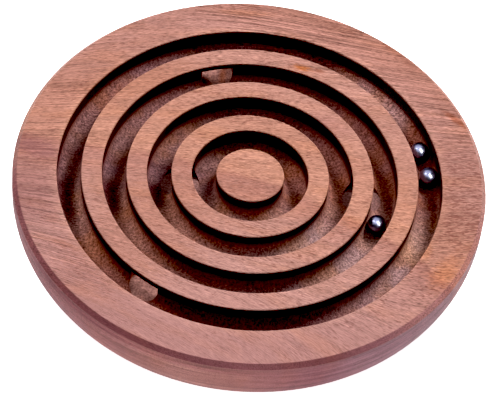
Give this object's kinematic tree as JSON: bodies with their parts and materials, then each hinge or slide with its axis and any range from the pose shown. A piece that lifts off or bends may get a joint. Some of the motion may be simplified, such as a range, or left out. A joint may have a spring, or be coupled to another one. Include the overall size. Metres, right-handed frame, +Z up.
{
  "type": "tilt maze game",
  "caption": "Round wooden hand-held tilt maze with concentric ring grooves round a centre boss, gates hidden under the ridges, and loose steel balls that roll in the grooves.",
  "frame": {"origin": "centre of the board's flat underside", "axes": "+Z up through the board, out of the grooved face; +X to the right and +Y away from the player"},
  "size_m": [0.15, 0.15, 0.018],
  "materials": {
    "board_wood": "smooth oiled hardwood, pinkish brown",
    "plug_wood": "paler unfinished hardwood",
    "ball_steel": "polished dark steel"
  },
  "bodies": {
    "board": {"maze_board": "board_wood", "outer_gate_plug_back": "plug_wood", "outer_gate_plug_front": "plug_wood", "middle_gate_plug": "plug_wood", "inner_gate_plug": "plug_wood"},
    "ball_1": {"ball_1": "ball_steel"},
    "ball_2": {"ball_2": "ball_steel"},
    "ball_3": {"ball_3": "ball_steel"}
  },
  "joints": [
    {"name": "ball_1_orbit", "type": "hinge", "parent": "board", "child": "ball_1", "pos_m": [0, 0, 0], "axis": [0, 0, 1], "continuous": true},
    {"name": "ball_2_orbit", "type": "hinge", "parent": "board", "child": "ball_2", "pos_m": [0, 0, 0], "axis": [0, 0, 1], "continuous": true},
    {"name": "ball_3_orbit", "type": "hinge", "parent": "board", "child": "ball_3", "pos_m": [0, 0, 0], "axis": [0, 0, 1], "continuous": true}
  ]
}
